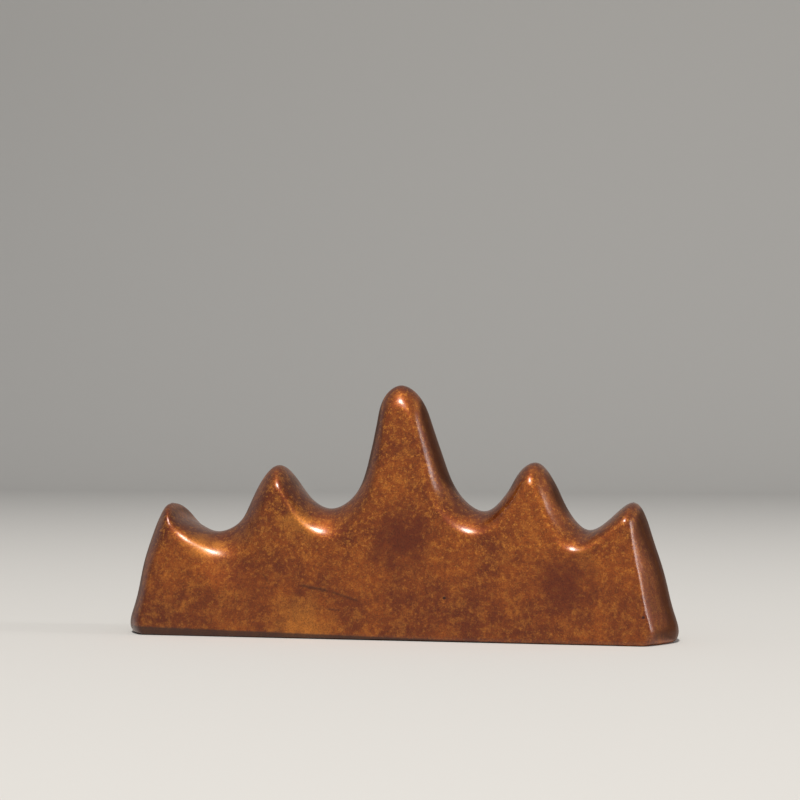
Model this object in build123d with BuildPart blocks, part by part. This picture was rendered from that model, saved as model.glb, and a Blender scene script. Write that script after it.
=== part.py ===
from build123d import *
from math import cos, radians, sin
import os

# Five-peak mountain brush rest, cast in one solid piece. It lies along X with its flat foot on
# Z = 0, broad faces in front (-Y) and at the back (+Y). All lengths are in millimetres.
height = 53.7          # tip of the middle peak above the table
foot_half = 11.8       # half the depth at the table, front to back
tip_half = 5.0         # half the depth at the height of the middle tip
fan_step = 18          # degrees between two sections of the body
crest_bluntness = 1.25 # how the crest rolls into the faces: 1 is elliptical, more is crisper
end_bluntness = 1.6    # the same for the two ends and the flanks of the peaks

# The outline of the mountain, from the left toe over the five peaks to the right toe.
# Each point has its place on the crest (x, z) and how far the body rounds away from it by the
# time it reaches a broad face (inward along x, down along z). The toes start a little below
# the table and rise towards the faces, which leaves an eased edge once the foot is cut flat.
outline = [
    (-57.5, -0.9, 4.4, -1.2),    # left toe
    (-59.6, 1.2, 5.1, -1.1),
    (-58.8, 5.9, 5.1, -0.4),
    (-57.0, 14.1, 4.6, 0.5),
    (-54.7, 22.0, 4.6, 1.6),
    (-50.7, 27.5, 2.4, 4.0),     # outer left peak
    (-49.2, 25.9, 2.5, 4.1),
    (-46.3, 23.8, 3.0, 4.4),
    (-40.2, 21.9, 4.0, 5.4),     # outer left valley
    (-35.4, 24.0, 4.0, 5.5),
    (-31.9, 30.0, 3.6, 4.3),
    (-26.5, 36.5, 1.6, 5.2),     # inner left peak
    (-20.7, 30.3, 0.5, 5.3),
    (-14.4, 27.1, 1.9, 6.3),     # inner left valley
    (-9.2, 30.3, 3.0, 4.7),
    (-6.2, 37.8, 3.3, 3.0),
    (-4.5, 45.6, 2.6, 3.0),
    (-2.2, 52.1, 1.3, 4.6),
    (0.6, height, 0.2, 5.0),     # middle peak
    (3.7, 52.2, -0.8, 4.4),
    (7.2, 45.5, -2.0, 2.7),
    (10.0, 37.3, -2.5, 2.4),
    (13.4, 30.2, -2.5, 4.0),
    (18.9, 26.7, -0.9, 5.0),     # inner right valley
    (23.5, 30.3, 0.9, 4.8),
    (29.7, 37.1, -0.4, 4.6),     # inner right peak
    (35.9, 28.8, -2.7, 3.6),
    (41.1, 22.9, -2.3, 4.3),     # outer right valley
    (45.9, 25.7, -1.0, 4.1),
    (50.4, 28.8, -1.4, 4.0),     # outer right peak
    (54.2, 21.8, -3.6, 1.8),
    (56.7, 13.8, -4.6, 0.5),
    (58.7, 5.8, -5.1, -0.4),
    (59.5, 1.2, -5.1, -1.1),
    (57.4, -0.9, -4.4, -1.2),    # right toe
]

# Distance run along the crest at each point, so that every section is divided the same way.
run = [0.0]
for (x1, z1, _, _), (x2, z2, _, _) in zip(outline, outline[1:]):
    run.append(run[-1] + ((x2 - x1) ** 2 + (z2 - z1) ** 2) ** 0.5)
stations = [length / run[-1] for length in run]


def mountain_section(turn):
    # One closed outline. The turn goes from -90 degrees on the front face over 0 in the middle
    # to 90 on the back face, and the planes of all sections fan out from one line high above.
    share = sin(radians(turn))
    upright = max(cos(radians(turn)), 0)
    sideways = 1 - upright ** end_bluntness
    downwards = 1 - upright ** crest_bluntness
    lean = share * (tip_half - foot_half) / height
    stretch = (1 + lean ** 2) ** 0.5
    points = []
    for x, z, inward, down in outline:
        points.append((x + inward * sideways, (z - down * downwards) * stretch))
    plane = Plane(origin=(0, share * foot_half, 0), x_dir=(1, 0, 0), z_dir=(0, -1, lean))
    with BuildSketch(plane) as section:
        with BuildLine():
            add(Edge.make_spline(points, parameters=stations))
            Line(points[-1], points[0])
        make_face()
    return section.sketch


os.makedirs("parts", exist_ok=True)

with BuildPart() as casting:
    loft([mountain_section(turn) for turn in range(-90, 91, fan_step)])
    split(bisect_by=Plane.XY, keep=Keep.TOP)

casting.part.label = "mountain_casting"
export_step(casting.part, "parts/mountain_casting.step")
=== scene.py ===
import math

import bmesh
import bpy
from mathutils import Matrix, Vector


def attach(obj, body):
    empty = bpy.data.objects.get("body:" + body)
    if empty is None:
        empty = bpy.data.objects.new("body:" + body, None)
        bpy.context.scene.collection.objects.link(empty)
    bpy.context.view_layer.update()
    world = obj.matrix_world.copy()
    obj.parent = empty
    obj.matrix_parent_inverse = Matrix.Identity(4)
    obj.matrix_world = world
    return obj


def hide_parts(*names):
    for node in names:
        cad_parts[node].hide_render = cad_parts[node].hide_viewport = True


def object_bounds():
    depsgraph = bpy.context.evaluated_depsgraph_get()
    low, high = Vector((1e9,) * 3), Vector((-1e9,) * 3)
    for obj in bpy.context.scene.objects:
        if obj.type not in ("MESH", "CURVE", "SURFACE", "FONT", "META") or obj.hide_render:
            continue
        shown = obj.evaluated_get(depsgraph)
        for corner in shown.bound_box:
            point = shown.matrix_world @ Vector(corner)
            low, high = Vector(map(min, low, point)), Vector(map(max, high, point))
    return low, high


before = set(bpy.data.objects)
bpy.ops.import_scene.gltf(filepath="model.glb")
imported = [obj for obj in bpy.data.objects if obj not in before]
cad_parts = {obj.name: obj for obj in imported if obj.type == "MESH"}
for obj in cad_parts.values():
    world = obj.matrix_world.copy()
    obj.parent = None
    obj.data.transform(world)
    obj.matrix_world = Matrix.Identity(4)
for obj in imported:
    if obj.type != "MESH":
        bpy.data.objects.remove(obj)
cadLow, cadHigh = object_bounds()
mm = 0.001
print("frame loaded, box in mm", [round(v / mm, 1) for v in (*cadLow, *cadHigh)])


def linearColour(hexCode):
    # sRGB hex to the linear values that Blender works in
    parts = [int(hexCode[i:i + 2], 16) / 255 for i in (1, 3, 5)]
    return tuple(p / 12.92 if p <= 0.04045 else ((p + 0.055) / 1.055) ** 2.4 for p in parts) + (1.0,)


def addNode(tree, kind, settings=None, links=None):
    # one node with its settings (properties or sockets) and the links that feed it
    node = tree.nodes.new(kind)
    for name, value in (settings or {}).items():
        if isinstance(name, str) and hasattr(node, name):
            setattr(node, name, value)
        else:
            node.inputs[name].default_value = value
    for name, source in (links or {}).items():
        tree.links.new(source.outputs[0] if hasattr(source, "outputs") else source, node.inputs[name])
    return node


def emptyMaterial(name):
    material = bpy.data.materials.new(name)
    material.use_nodes = True
    material.node_tree.nodes.clear()
    return material


def addObject(name, data):
    thing = bpy.data.objects.new(name, data)
    bpy.context.scene.collection.objects.link(thing)
    return thing


# camera, at the photograph's angle: low, a little to the right of the front
shot = {
    "place": (0.08662, -0.38388, 0.03971),
    "turn": (91.565, 0.0, 12.66),   # degrees
    "focalLength": 82.35,           # mm, on a sensor 36 mm wide
    "sensor": 36,
    "sees": (0.02, 20),             # nearest and farthest distance that it shows
}

lens = bpy.data.cameras.new("shotCamera")
lens.lens = shot["focalLength"]
lens.sensor_width = shot["sensor"]
lens.clip_start, lens.clip_end = shot["sees"]
shotCamera = addObject("shotCamera", lens)
shotCamera.location = shot["place"]
shotCamera.rotation_euler = [math.radians(a) for a in shot["turn"]]
bpy.context.scene.camera = shotCamera
bpy.context.scene.view_settings.view_transform = "Standard"
print("camera set")


# studio: a pale floor that sweeps up behind the object, an even world, one softbox high in front
# and a tall one at the right
studio = {
    "floorColour": "#CAC8C4",
    "halfWidth": 2.4,
    "front": -2.4,
    "sweepFrom": 1.3,      # y where the floor starts to bend upwards
    "sweepRadius": 0.6,
    "sweepSteps": 24,
    "wall": 1.4,
    "worldColour": "#9E9FA1",
    "aim": (0, 0, 0.02),   # where both softboxes point
    "key": {"place": (0.02, -0.80, 1.40), "size": (0.22, 0.22), "power": 24.0, "colour": "#FFFBF6"},
    "side": {"place": (1.20, 0.02, 0.42), "size": (0.22, 0.46), "power": 3.5, "colour": "#FFFFFF"},
}


def makeFloor(studio):
    sweep = bmesh.new()
    left = sweep.verts.new((-studio["halfWidth"], studio["front"], 0))
    right = sweep.verts.new((studio["halfWidth"], studio["front"], 0))
    edge = sweep.edges.new((left, right))
    flat = bmesh.ops.extrude_edge_only(sweep, edges=[edge])["geom"]
    run = [v for v in flat if isinstance(v, bmesh.types.BMVert)]
    bmesh.ops.translate(sweep, verts=run, vec=(0, studio["sweepFrom"] - studio["front"], 0))
    lip = [e for e in flat if isinstance(e, bmesh.types.BMEdge) and all(v in run for v in e.verts)]
    bend = bmesh.ops.spin(sweep, geom=run + lip, cent=(0, studio["sweepFrom"], studio["sweepRadius"]),
                          axis=(1, 0, 0), angle=math.radians(90), steps=studio["sweepSteps"],
                          use_duplicate=False)["geom_last"]
    wallFoot = [e for e in bend if isinstance(e, bmesh.types.BMEdge)]
    rise = bmesh.ops.extrude_edge_only(sweep, edges=wallFoot)["geom"]
    bmesh.ops.translate(sweep, verts=[v for v in rise if isinstance(v, bmesh.types.BMVert)],
                        vec=(0, 0, studio["wall"]))
    bmesh.ops.recalc_face_normals(sweep, faces=sweep.faces)
    mesh = bpy.data.meshes.new("studioFloor")
    sweep.to_mesh(mesh)
    sweep.free()
    for face in mesh.polygons:
        face.use_smooth = True
    floor = addObject("studioFloor", mesh)
    paper = emptyMaterial("matteFloorPaper")   # plain and matte, so that the eye stays on the casting
    tree = paper.node_tree
    shade = addNode(tree, "ShaderNodeBsdfPrincipled",
                    {"Base Color": linearColour(studio["floorColour"]), "Roughness": 0.9,
                     "Specular IOR Level": 0.2})
    addNode(tree, "ShaderNodeOutputMaterial", {}, {"Surface": shade})
    mesh.materials.append(paper)


def makeSoftbox(name, box):
    lamp = bpy.data.lights.new(name, "AREA")
    lamp.shape = "RECTANGLE"
    lamp.size, lamp.size_y = box["size"]
    lamp.energy = box["power"]
    lamp.color = linearColour(box["colour"])[:3]
    light = addObject(name, lamp)
    light.location = box["place"]
    aim = Vector(studio["aim"]) - Vector(box["place"])
    light.rotation_euler = aim.to_track_quat("-Z", "Y").to_euler()


def makeWorld(studio):
    world = bpy.data.worlds.new("evenStudioWorld")
    bpy.context.scene.world = world
    world.use_nodes = True
    tree = world.node_tree
    tree.nodes.clear()
    glow = addNode(tree, "ShaderNodeBackground",
                   {"Color": linearColour(studio["worldColour"]), "Strength": 1.0})
    addNode(tree, "ShaderNodeOutputWorld", {}, {"Surface": glow})


makeFloor(studio)
makeSoftbox("keySoftbox", studio["key"])
makeSoftbox("sideSoftbox", studio["side"])
makeWorld(studio)
print("studio set")


# the casting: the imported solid, evened out to a fine mesh with hand-ground, slightly wavy faces
# (lengths and places in mm)
casting = {
    "voxel": 0.40,           # grain of the finished mesh
    "smoothing": 4,          # rounds that soften the rims
    "wave": 0.10,            # how far the hand-ground surface wanders
    "waveLength": 12,
    "faceLean": 0.0107,      # share of its depth that the body loses with each mm of height
    "easeHeight": 2.0,       # ground edge at the front foot, at the left toe
    "easeDepth": 0.7,
    "easeEnd": 38,           # x where that edge has run out, towards the right
    # inner flank of the outer left peak, worn rounder than the rest
    "flank": {"place": (-43.5, -8.5, 19.5), "reach": 8.5, "rounds": 60},
    # soft hollow in the front of the outer left valley
    "hollow": {"place": (-34.5, -9.0, 19.5), "reach": 11.0, "depth": 1.2},
    # front half of the right end, ground flatter: it starts at a quarter of the way from the middle
    # to the front face, fills in along x and runs out up the peak. A higher towardsFace moves its
    # deepest place nearer to the face, and a lower fullness spreads it
    "endFlat": {"depth": 0.55, "from": 0.25, "fillsIn": (40, 48), "runsOut": (14, 25),
                "towardsFace": 1.5, "fullness": 0.8},
    # last touches: x, z and reach, then how far the form is pulled along x and z
    "touches": [(-49.9, 27.6, 3.8, 0.0, 0.62), (26.6, 35.0, 4.5, -0.32, 0.2),
                (36.7, 28.0, 5.0, -0.22, 0.0), (0.6, 53.7, 4.0, 0.0, -0.05)],
}


def frontFace(z):
    # y of the leaning front face at this height
    return cadLow.y / mm * (1 - casting["faceLean"] * z)


def share(value, start, end):
    # how far a value has come from start to end, held between 0 and 1
    return min(max((value - start) / (end - start), 0), 1)


def falloff(away):
    # 1 in the middle of a touch, softly down to 0 at its reach
    return (1 - min(away, 1) ** 2) ** 2


def easeFootEdge(body, casting):
    # slanting cut along the front foot edge, deepest at the left toe
    front = cadLow.y
    left = Vector((cadLow.x, front, casting["easeHeight"] * mm))
    leftUnder = Vector((cadLow.x, front + casting["easeDepth"] * mm, 0))
    right = Vector((casting["easeEnd"] * mm, front, 0))
    cut = (leftUnder - left).cross(right - left).normalized()
    if cut.y > 0:
        cut.negate()
    bmesh.ops.bisect_plane(body, geom=body.verts[:] + body.edges[:] + body.faces[:], dist=1e-7,
                           plane_co=left, plane_no=cut, clear_outer=True)
    bmesh.ops.holes_fill(body, edges=[e for e in body.edges if e.is_boundary], sides=0)
    bmesh.ops.triangulate(body, faces=[f for f in body.faces if len(f.verts) > 4])


def evenOut(rough, casting):
    # fine, even mesh with soft rims and slight waves
    blank = addObject("castingBlank", rough)
    even = blank.modifiers.new("evenMesh", "REMESH")
    even.mode = "VOXEL"
    even.voxel_size = casting["voxel"] * mm
    even.use_smooth_shade = True
    soften = blank.modifiers.new("softRims", "SMOOTH")
    soften.factor = 0.5
    soften.iterations = casting["smoothing"]
    ripple = bpy.data.textures.new("handGroundWaves", "CLOUDS")
    ripple.noise_scale = casting["waveLength"] * mm
    ripple.noise_depth = 1
    ground = blank.modifiers.new("handGround", "DISPLACE")
    ground.texture = ripple
    ground.texture_coords = "LOCAL"
    ground.mid_level = 0.5
    ground.strength = casting["wave"] * mm
    bpy.context.view_layer.update()
    finished = bpy.data.meshes.new_from_object(blank.evaluated_get(bpy.context.evaluated_depsgraph_get()))
    bpy.data.objects.remove(blank)
    return finished


def wearIn(done, casting):
    # the places where the hand left the form rounder, hollower or flatter, worked in mm
    flank = casting["flank"]
    for i in range(flank["rounds"]):
        reach = flank["reach"] * (1 - 0.5 * i / flank["rounds"])
        near = [v for v in done.verts if (v.co - Vector(flank["place"])).length < reach]
        bmesh.ops.smooth_vert(done, verts=near, factor=0.5, use_axis_x=True, use_axis_y=True, use_axis_z=True)
    hollow = casting["hollow"]
    for v in done.verts:
        away = (v.co - Vector(hollow["place"])).length / hollow["reach"]
        v.co.y += hollow["depth"] * falloff(away)
    flat = casting["endFlat"]
    for v in done.verts:
        across = share(v.co.y / frontFace(v.co.z), flat["from"], 1) ** flat["towardsFace"]
        hold = share(v.co.x, *flat["fillsIn"]) * (1 - share(v.co.z, *flat["runsOut"]))
        v.co.x -= flat["depth"] * hold * max(math.sin(math.pi * across), 0) ** flat["fullness"]
    for x, z, reach, pullX, pullZ in casting["touches"]:
        for v in done.verts:
            hold = falloff(math.hypot(v.co.x - x, v.co.z - z) / reach)
            v.co.x += pullX * hold
            v.co.z += pullZ * hold


def makeCasting(node, casting):
    body = bmesh.new()
    body.from_mesh(node.data)
    bmesh.ops.remove_doubles(body, verts=body.verts, dist=1e-6)
    easeFootEdge(body, casting)
    rough = bpy.data.meshes.new("castingRough")
    body.to_mesh(rough)
    body.free()
    finished = evenOut(rough, casting)

    done = bmesh.new()
    done.from_mesh(finished)
    bmesh.ops.scale(done, verts=done.verts, vec=(1 / mm, 1 / mm, 1 / mm))
    wearIn(done, casting)
    bmesh.ops.scale(done, verts=done.verts, vec=(mm, mm, mm))
    # the foot is ground flat on the table, and nothing leaves the measured size
    for v in done.verts:
        for axis in range(3):
            v.co[axis] = min(max(v.co[axis], cadLow[axis]), cadHigh[axis])
    done.to_mesh(finished)
    done.free()
    finished.name = "mountainCasting"
    for face in finished.polygons:
        face.use_smooth = True
    return addObject("mountainCasting", finished)


mountain = makeCasting(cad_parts["mountain_casting"], casting)
print("casting made,", len(mountain.data.polygons), "faces")


# finish: cast copper with a fumed golden-brown patina, rubbed back by hand and waxed
patina = {
    "warm": "#A05010",      # the main golden brown, copper glowing through the patina
    "deep": "#6C2908",      # red-brown clouds where the fuming went deeper, also used for the painted shade on the crest
    "gold": "#E09235",      # rubbed-back copper in flecks and patches
    "soot": "#3A1507",      # specks, scratches and pits
    "foot": "#3C1A08",      # painted shade along the ground edge at the foot
    "ends": "#42200E",      # painted shade on the two ends, greyer and darker
    "cloudScale": 0.085,    # clouds about 12 mm across (scales are per millimetre)
    "mottleScale": 0.5,     # mottling of about 2 mm
    "fleckScale": 1.25,     # clusters of flecks, 0.8 mm and finer
    "grainScale": 3.4,      # sand grain of the mould, 0.3 mm
    "fleckRise": (10, 24),  # heights in mm between which the flecks thicken
    "fleckCover": (0.35, 0.7),
    # places on the front face: x and z in mm, radius in mm, strength
    "goldPatches": [(-40.4, 20.4, 7.0, 0.45), (-19.4, 24.9, 5.5, 0.45), (41.4, 16.2, 4.5, 0.15),
                    (-18.0, 2.0, 9.0, 0.4)],
    "deepPatches": [(2.5, 20.9, 9.5, 0.9), (37.3, 13.1, 8.5, 0.8), (-31.0, 11.0, 6.0, 0.4)],
    "raggedness": 12,       # how far the outlines of the patches wander, in mm
    "pits": [(12.2, 9.0, 0.45, 1.0), (53.3, 5.8, 0.4, 1.0), (-6.5, 15.2, 0.25, 0.6)],
    # scratches: from x, z to x, z, half width in mm, strength
    "scratches": [(-19.3, 11.2, -12.3, 9.9, 0.5, 0.6), (-12.6, 10.0, -5.7, 7.9, 0.42, 0.5),
                  (-13.5, 6.3, -9.8, 6.0, 0.32, 0.45), (-27.5, 13.8, -25.6, 11.2, 0.34, 0.4)],
    "scratchTaper": 1.2,                   # length over which a scratch fades out at each end, in mm
    "swirlCentre": (22.0, -12.0, -24.0),   # hand polishing left arcs round this point
    "swirlSpacing": 0.6,                   # between two arcs, in mm
    "roughness": (0.52, 0.64),             # of the metal, where the mottling is low and high
    "edgeTint": "#E1BB9A",                 # keeps the grazing edges from turning grey
    "waxRoughness": 0.25,
    "waxOnEnds": 0.35,                     # the ends hold less wax than the faces, which hold 1
    # relief in mm
    "grainRelief": 0.02,
    "mottleRelief": 0.08,
    "markRelief": 0.1,
}


def scratchesAndPits(tree, at, patina):
    # one mask, strongest in the middle of each scratch and pit
    dents = []
    for x0, z0, x1, z1, width, strength in patina["scratches"]:
        middle = Vector(((x0 + x1) / 2, 0, (z0 + z1) / 2))
        run = Vector((x1 - x0, 0, z1 - z0))
        way = run.normalized()
        moved = addNode(tree, "ShaderNodeVectorMath", {"operation": "SUBTRACT", 1: middle}, {0: at})
        along = addNode(tree, "ShaderNodeVectorMath", {"operation": "DOT_PRODUCT", 1: way}, {0: moved})
        across = addNode(tree, "ShaderNodeVectorMath",
                         {"operation": "DOT_PRODUCT", 1: (-way.z, 0, way.x)}, {0: moved})
        reach = addNode(tree, "ShaderNodeMath", {"operation": "ABSOLUTE"}, {0: along.outputs["Value"]})
        beside = addNode(tree, "ShaderNodeMath", {"operation": "ABSOLUTE"}, {0: across.outputs["Value"]})
        taper = addNode(tree, "ShaderNodeMapRange",
                        {"From Min": run.length / 2, "From Max": run.length / 2 - patina["scratchTaper"],
                         "To Max": strength}, {"Value": reach})
        line = addNode(tree, "ShaderNodeMapRange", {"From Min": width, "From Max": width * 0.2},
                       {"Value": beside})
        dents.append(addNode(tree, "ShaderNodeMath", {"operation": "MULTIPLY"}, {0: taper, 1: line}))
    for x, z, radius, strength in patina["pits"]:
        away = addNode(tree, "ShaderNodeVectorMath",
                       {"operation": "DISTANCE", 1: (x, frontFace(z), z)}, {0: at})
        dents.append(addNode(tree, "ShaderNodeMapRange",
                             {"From Min": radius, "From Max": radius * 0.5, "To Max": strength},
                             {"Value": away.outputs["Value"]}))
    marks = dents[0]
    for dent in dents[1:]:
        marks = addNode(tree, "ShaderNodeMath", {"operation": "MAXIMUM"}, {0: marks, 1: dent})
    return marks


def waxedCopper(patina):
    # metal under a thin brown oxide: the glow is coloured, and the wax on top gives white, soft-edged
    # lights
    material = emptyMaterial("waxedCopperPatina")
    tree = material.node_tree
    place = addNode(tree, "ShaderNodeTexCoord")
    at = addNode(tree, "ShaderNodeMapping", {"Scale": (1 / mm, 1 / mm, 1 / mm)},
                 {"Vector": place.outputs["Object"]})
    sides = addNode(tree, "ShaderNodeSeparateXYZ", {}, {0: at})
    facing = addNode(tree, "ShaderNodeSeparateXYZ", {}, {0: place.outputs["Normal"]})

    clouds = addNode(tree, "ShaderNodeTexNoise",
                     {"Scale": patina["cloudScale"], "Detail": 5, "Roughness": 0.6, "Distortion": 0.4},
                     {"Vector": at})
    mottle = addNode(tree, "ShaderNodeTexNoise",
                     {"Scale": patina["mottleScale"], "Detail": 6, "Roughness": 0.68, "Distortion": 0.2},
                     {"Vector": at})
    flecks = addNode(tree, "ShaderNodeTexNoise",
                     {"Scale": patina["fleckScale"], "Detail": 8, "Roughness": 0.78}, {"Vector": at})
    grain = addNode(tree, "ShaderNodeTexNoise",
                    {"Scale": patina["grainScale"], "Detail": 3, "Roughness": 0.75}, {"Vector": at})

    # red-brown clouds, and mottling that is golden on one side and deep on the other
    clouded = addNode(tree, "ShaderNodeMapRange", {"From Min": 0.40, "From Max": 0.62, "To Max": 0.8},
                      {"Value": clouds})
    rubbed = addNode(tree, "ShaderNodeMapRange", {"From Min": 0.50, "From Max": 0.72, "To Max": 0.42},
                     {"Value": mottle})
    darker = addNode(tree, "ShaderNodeMapRange", {"From Min": 0.50, "From Max": 0.30, "To Max": 0.45},
                     {"Value": mottle})

    # golden flecks, thickest below the crest
    rise, cover = patina["fleckRise"], patina["fleckCover"]
    band = addNode(tree, "ShaderNodeMapRange",
                   {"From Min": rise[0], "From Max": rise[1], "To Min": cover[0], "To Max": cover[1]},
                   {"Value": sides.outputs["Z"]})
    fleckShape = addNode(tree, "ShaderNodeMapRange", {"From Min": 0.52, "From Max": 0.62},
                         {"Value": flecks})
    flecked = addNode(tree, "ShaderNodeMath", {"operation": "MULTIPLY"}, {0: fleckShape, 1: band})

    # patches that the rubbing left, with ragged outlines
    wander = patina["raggedness"]
    ragged = addNode(tree, "ShaderNodeTexNoise", {"Scale": 0.35, "Detail": 4}, {"Vector": at})
    shift = addNode(tree, "ShaderNodeVectorMath",
                    {"operation": "MULTIPLY_ADD", 1: (wander,) * 3, 2: (-wander / 2,) * 3},
                    {0: ragged.outputs["Color"]})
    warped = addNode(tree, "ShaderNodeVectorMath", {"operation": "ADD"}, {0: at, 1: shift})
    patches = []
    for tone in ("gold", "deep"):
        for x, z, radius, strength in patina[tone + "Patches"]:
            away = addNode(tree, "ShaderNodeVectorMath",
                           {"operation": "DISTANCE", 1: (x, frontFace(z), z)}, {0: warped})
            patch = addNode(tree, "ShaderNodeMapRange",
                            {"From Min": radius, "From Max": radius * 0.2, "To Max": strength,
                             "interpolation_type": "SMOOTHSTEP"}, {"Value": away.outputs["Value"]})
            patches.append((tone, patch))

    # fine dark grain
    specks = addNode(tree, "ShaderNodeMapRange", {"From Min": 0.56, "From Max": 0.32, "To Max": 0.6},
                     {"Value": grain})

    # arcs of hand polishing, only here and there (the wave texture has a ring in each tau / 20)
    rings = addNode(tree, "ShaderNodeVectorMath", {"operation": "SUBTRACT", 1: patina["swirlCentre"]},
                    {0: at})
    swirl = addNode(tree, "ShaderNodeTexWave",
                    {"wave_type": "RINGS", "rings_direction": "SPHERICAL", "Distortion": 2.5, "Detail": 2,
                     "Scale": math.tau / 20 / patina["swirlSpacing"], "Detail Scale": 0.6},
                    {"Vector": rings})
    swirlPlace = addNode(tree, "ShaderNodeTexNoise", {"Scale": 0.13, "Detail": 2}, {"Vector": at})
    swirlCover = addNode(tree, "ShaderNodeMapRange",
                         {"From Min": 0.52, "From Max": 0.66, "To Max": 0.26}, {"Value": swirlPlace})
    swirled = addNode(tree, "ShaderNodeMath", {"operation": "MULTIPLY"},
                      {0: swirl.outputs["Fac"], 1: swirlCover})

    # painted shade: the upward-facing crest is darkened towards the deep brown, and the two ends are painted
    # greyer and darker; the ends also get less wax
    crestShade = addNode(tree, "ShaderNodeMapRange", {"From Min": 0.75, "From Max": 1.0, "To Max": 0.5},
                      {"Value": facing.outputs["Z"]})
    aside = addNode(tree, "ShaderNodeMath", {"operation": "ABSOLUTE"}, {0: facing.outputs["X"]})
    endShade = addNode(tree, "ShaderNodeMapRange", {"From Min": 0.78, "From Max": 0.87, "To Max": 0.85},
                       {"Value": aside})
    waxed = addNode(tree, "ShaderNodeMapRange",
                    {"From Min": 0.78, "From Max": 0.88, "To Min": 1.0, "To Max": patina["waxOnEnds"]},
                    {"Value": aside})

    # painted shade along the ground edge at the front foot
    edgeTop = addNode(tree, "ShaderNodeMapRange",
                      {"From Min": cadLow.x / mm, "From Max": casting["easeEnd"],
                       "To Min": casting["easeHeight"], "To Max": 0.0}, {"Value": sides.outputs["X"]})
    overEdge = addNode(tree, "ShaderNodeMath", {"operation": "SUBTRACT"},
                       {0: sides.outputs["Z"], 1: edgeTop})
    footShade = addNode(tree, "ShaderNodeMapRange", {"From Min": 0.15, "From Max": -0.2, "To Max": 0.85},
                     {"Value": overEdge})

    # scratches and pits, on the front face only
    front = addNode(tree, "ShaderNodeMapRange", {"From Min": -2.0, "From Max": -4.0},
                    {"Value": sides.outputs["Y"]})
    marks = addNode(tree, "ShaderNodeMath", {"operation": "MULTIPLY"},
                    {0: scratchesAndPits(tree, at, patina), 1: front})

    # the tones are laid one over the other, on the warm brown
    # the layers for the crest, the two ends and the foot edge are painted shade
    layers = [("deep", clouded), ("gold", rubbed), ("deep", darker), ("gold", flecked), *patches,
              ("soot", specks), ("deep", swirled), ("deep", crestShade), ("ends", endShade),
              ("foot", footShade), ("soot", marks)]
    colour = None
    for tone, cover in layers:
        under = {} if colour is None else {6: colour}
        colour = addNode(tree, "ShaderNodeMix",
                         {"data_type": "RGBA", 6: linearColour(patina["warm"]),
                          7: linearColour(patina[tone])}, {0: cover, **under}).outputs[2]

    # relief: sand grain, mottled oxide and the sunken marks
    low, high = patina["roughness"]
    sheen = addNode(tree, "ShaderNodeMapRange",
                    {"From Min": 0.3, "From Max": 0.7, "To Min": low, "To Max": high}, {"Value": mottle})
    grainBump = addNode(tree, "ShaderNodeBump",
                        {"Strength": 0.5, "Distance": patina["grainRelief"] * mm}, {"Height": grain})
    mottleBump = addNode(tree, "ShaderNodeBump",
                         {"Strength": 0.3, "Distance": patina["mottleRelief"] * mm},
                         {"Height": mottle, "Normal": grainBump})
    markBump = addNode(tree, "ShaderNodeBump",
                       {"Strength": 0.4, "Distance": patina["markRelief"] * mm, "invert": True},
                       {"Height": marks, "Normal": mottleBump})
    metal = addNode(tree, "ShaderNodeBsdfPrincipled",
                    {"Metallic": 0.95, "Specular Tint": linearColour(patina["edgeTint"]),
                     "Coat Roughness": patina["waxRoughness"], "Coat IOR": 1.5},
                    {"Base Color": colour, "Roughness": sheen, "Normal": markBump,
                     "Coat Weight": waxed, "Coat Normal": markBump})
    addNode(tree, "ShaderNodeOutputMaterial", {}, {"Surface": metal})
    return material


mountain.data.materials.clear()
mountain.data.materials.append(waxedCopper(patina))
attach(mountain, "root")
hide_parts("mountain_casting")
print("finish laid on")
